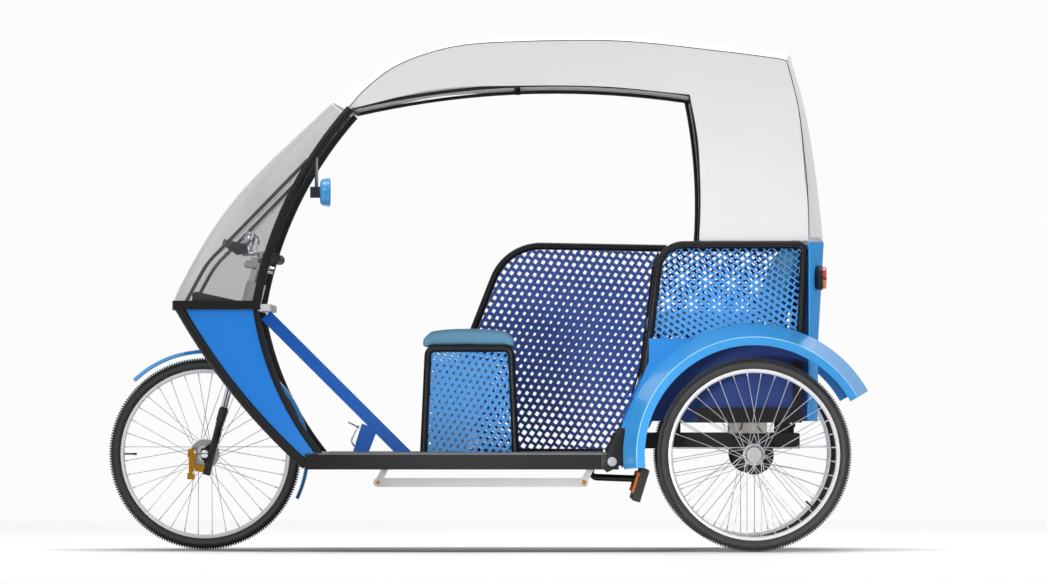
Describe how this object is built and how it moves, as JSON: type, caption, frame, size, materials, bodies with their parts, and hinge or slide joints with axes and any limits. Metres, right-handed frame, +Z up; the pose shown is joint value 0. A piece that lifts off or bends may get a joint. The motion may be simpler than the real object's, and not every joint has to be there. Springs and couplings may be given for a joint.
{
  "type": "cycle rickshaw",
  "caption": "Three-wheel cycle rickshaw: steered front wheel, tube frame with windscreen, driver's seat, rear bench in a mesh-sided tub, fenders, cloth canopy and a fold-down boarding step.",
  "frame": {"origin": "on the ground under the middle of the vehicle's length and width", "axes": "+X towards the rear, +Y towards the closed right side, +Z up; the vehicle faces -X and is boarded from -Y"},
  "size_m": [2.571, 1.15, 1.748],
  "materials": {
    "frame_black": "satin black powder coat",
    "body_blue": "glossy moulded panel",
    "tube_blue": "satin blue paint",
    "mesh_blue": "blue coated perforated sheet",
    "screen_tint": "smoke tinted acrylic",
    "canopy_cloth": "light grey coated cloth",
    "seat_cloth": "slate blue woven cover",
    "tyre": "black rubber",
    "alloy": "polished rim and spokes",
    "disc_black": "dark brake disc",
    "disc_steel": "ground steel",
    "chrome": "bright chrome",
    "grip_rubber": "ribbed rubber",
    "trim_black": "moulded black",
    "link_grey": "light grey paint",
    "amber": "amber reflector",
    "lamp_red": "red and amber lens",
    "case_beige": "beige grey case",
    "locker_grey": "grey sheet metal",
    "anodised_gold": "gold anodised",
    "floor_grey": "grey floor sheet",
    "motor_metal": "machined metal"
  },
  "bodies": {
    "frame": {"chassis_frame": "frame_black", "floor": "floor_grey", "front_frame": "frame_black", "fairing_panels": "body_blue", "nose_apron": "body_blue", "screen_stays": "frame_black", "quarter_windows": "screen_tint", "windscreen": "screen_tint", "dash_shelf": "trim_black", "steering_head": "link_grey", "main_tube": "tube_blue", "seat_frame": "frame_black", "seat_meshes": "mesh_blue", "seat_locker": "locker_grey", "driver_cushion": "seat_cloth", "foot_brake": "chrome", "passenger_frames": "frame_black", "side_meshes": "mesh_blue", "tub_sides": "body_blue", "tub_back": "body_blue", "bench_base": "body_blue", "bench_cushion": "seat_cloth", "backrest_cushion": "seat_cloth", "backrest_frame": "chrome", "guard_frame": "frame_black", "guard_mesh": "mesh_blue", "fenders": "body_blue", "canopy_roof": "canopy_cloth", "canopy_sides": "canopy_cloth", "canopy_frame": "frame_black", "rear_axle": "frame_black", "battery_box": "case_beige", "drive_motor": "motor_metal", "lamp_housings": "trim_black", "lamp_lenses": "lamp_red", "mirror_arm": "frame_black", "mirror_head": "body_blue"},
    "steering": {"fork": "chrome", "handlebar": "chrome", "grips": "grip_rubber", "hand_controls": "trim_black", "bell_cup": "chrome", "front_mudguard": "body_blue", "front_caliper": "anodised_gold"},
    "front_wheel": {"front_tyre": "tyre", "front_rim": "alloy", "front_disc": "disc_steel"},
    "left_wheel": {"left_tyre": "tyre", "left_rim": "alloy", "left_disc": "disc_black"},
    "right_wheel": {"right_tyre": "tyre", "right_rim": "alloy", "right_disc": "disc_black"},
    "step": {"step_arms": "frame_black", "step_rear_crank": "link_grey", "step_board": "trim_black", "step_reflectors": "amber"},
    "step_crank": {"step_front_crank": "link_grey"},
    "step_link": {"step_rod": "link_grey"}
  },
  "joints": [
    {"name": "steering_turn", "type": "hinge", "parent": "frame", "child": "steering", "pos_m": [-0.937, 0, 0.322], "axis": [0.252, 0, 0.9677], "range_deg": [-35, 35]},
    {"name": "front_wheel_spin", "type": "hinge", "parent": "steering", "child": "front_wheel", "pos_m": [-0.959, 0, 0.3265], "axis": [0, 1, 0], "continuous": true},
    {"name": "left_wheel_spin", "type": "hinge", "parent": "frame", "child": "left_wheel", "pos_m": [0.901, -0.52, 0.3265], "axis": [0, 1, 0], "continuous": true},
    {"name": "right_wheel_spin", "type": "hinge", "parent": "frame", "child": "right_wheel", "pos_m": [0.901, 0.52, 0.3265], "axis": [0, 1, 0], "continuous": true},
    {"name": "step_swing", "type": "hinge", "parent": "frame", "child": "step", "pos_m": [0.364, 0, 0.301], "axis": [0, 1, 0], "range_deg": [0, 65]},
    {"name": "front_crank_swing", "type": "hinge", "parent": "frame", "child": "step_crank", "pos_m": [-0.329, -0.388, 0.301], "axis": [0, 1, 0], "range_deg": [0, 65]},
    {"name": "link_swing", "type": "hinge", "parent": "step", "child": "step_link", "pos_m": [0.328, -0.377, 0.232], "axis": [0, 1, 0], "range_deg": [-65, 0]}
  ],
  "couplings": [
    {"joint": "front_crank_swing", "follows": "step_swing", "ratio": 1},
    {"joint": "link_swing", "follows": "step_swing", "ratio": -1}
  ]
}
